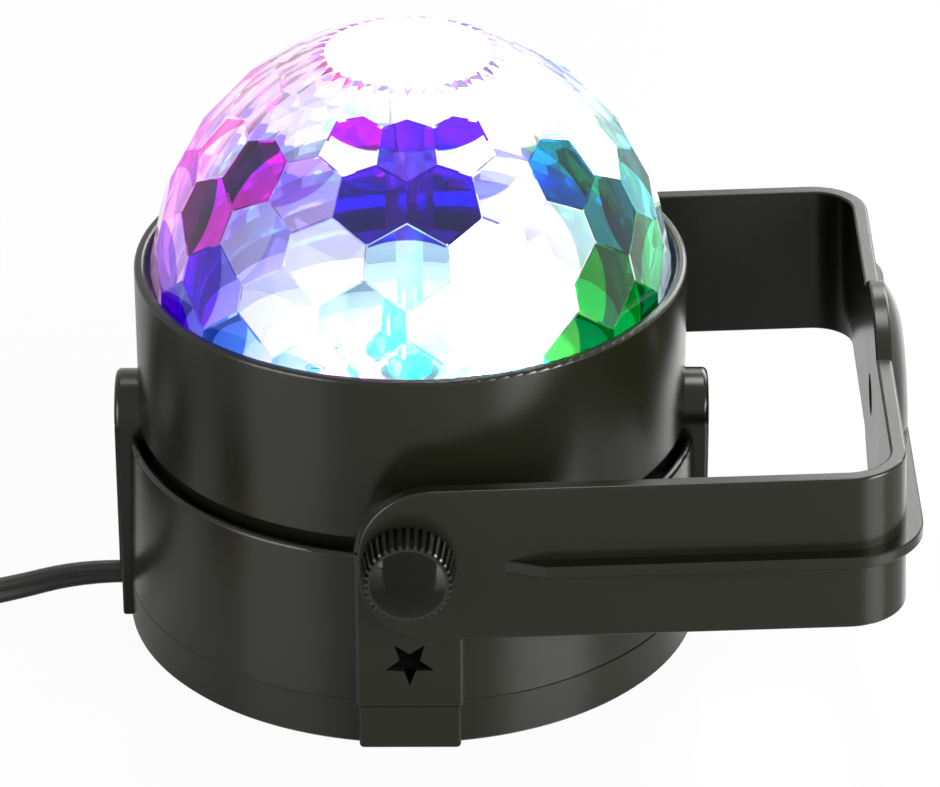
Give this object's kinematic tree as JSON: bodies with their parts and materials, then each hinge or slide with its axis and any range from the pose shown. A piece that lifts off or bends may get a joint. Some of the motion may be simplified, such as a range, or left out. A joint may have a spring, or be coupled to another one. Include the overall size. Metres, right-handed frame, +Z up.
{
  "type": "led disco ball light",
  "caption": "Small party light: a faceted clear dome turns over coloured lamps in a round black housing with a tilting bracket and a supply lead.",
  "frame": {"origin": "centre of the housing's underside, on the table", "axes": "+Z up, -Y out of the pad with the star-shaped hole, +X towards the bracket's crossbar"},
  "size_m": [0.2176, 0.1145, 0.0938],
  "materials": {
    "housing_black": "satin injection-moulded black plastic",
    "bracket_black": "satin injection-moulded black plastic",
    "knob_black": "knurled black plastic",
    "cap_black": "polished black plastic",
    "crystal": "clear polystyrene, cut facets",
    "steel": "zinc-plated steel",
    "brass": "turned brass",
    "washer_nylon": "black nylon",
    "deck_white": "white reflector plastic",
    "board_white": "white coated light board",
    "lamp_red": "red lamp under a clear lens",
    "lamp_green": "green lamp under a clear lens",
    "lamp_blue": "blue lamp under a clear lens",
    "motor_metal": "plated motor case",
    "board_green": "green circuit board",
    "core_grey": "ferrite core and taped winding",
    "can_dark": "sleeved capacitor",
    "chip_black": "moulded chip",
    "rubber_black": "soft black rubber",
    "lead_black": "black flexible sleeve",
    "tie_black": "black tie strap",
    "blade_metal": "plug blades"
  },
  "bodies": {
    "housing": {"upper_housing": "housing_black", "lower_housing": "housing_black", "bottom_cover": "housing_black", "cover_screws": "steel", "lead_bush": "rubber_black", "deck_plate": "deck_white", "light_board": "board_white", "lamp_red": "lamp_red", "lamp_green": "lamp_green", "lamp_blue": "lamp_blue", "gearbox": "motor_metal", "motor_can": "motor_metal", "motor_screws": "steel", "power_board": "board_green", "board_screws": "steel", "transformer": "core_grey", "capacitors": "can_dark", "control_chip": "chip_black", "microphone": "motor_metal", "pivot_inserts": "brass", "friction_washers": "washer_nylon", "lead_free_run": "lead_black", "lead_coil": "lead_black", "lead_tail": "lead_black", "coil_tie": "tie_black", "plug_body": "rubber_black", "plug_blades": "blade_metal"},
    "dome": {"crystal_dome": "crystal", "dome_spindle": "crystal", "output_shaft": "steel"},
    "bracket": {"bracket": "bracket_black"},
    "front_knob": {"knob_front": "knob_black", "knob_cap_front": "cap_black", "pivot_stud_front": "steel"},
    "back_knob": {"knob_back": "knob_black", "knob_cap_back": "cap_black", "pivot_stud_back": "steel"}
  },
  "joints": [
    {"name": "dome_spin", "type": "hinge", "parent": "housing", "child": "dome", "pos_m": [0, 0, 0.05], "axis": [0, 0, 1], "continuous": true},
    {"name": "bracket_tilt", "type": "hinge", "parent": "housing", "child": "bracket", "pos_m": [0, 0, 0.0334], "axis": [0, -1, 0], "range_deg": [-90, 175]},
    {"name": "front_knob_turn", "type": "hinge", "parent": "housing", "child": "front_knob", "pos_m": [0, -0.05, 0.0334], "axis": [0, -1, 0], "range_deg": [0, 720]},
    {"name": "back_knob_turn", "type": "hinge", "parent": "housing", "child": "back_knob", "pos_m": [0, 0.05, 0.0334], "axis": [0, 1, 0], "range_deg": [0, 720]}
  ]
}
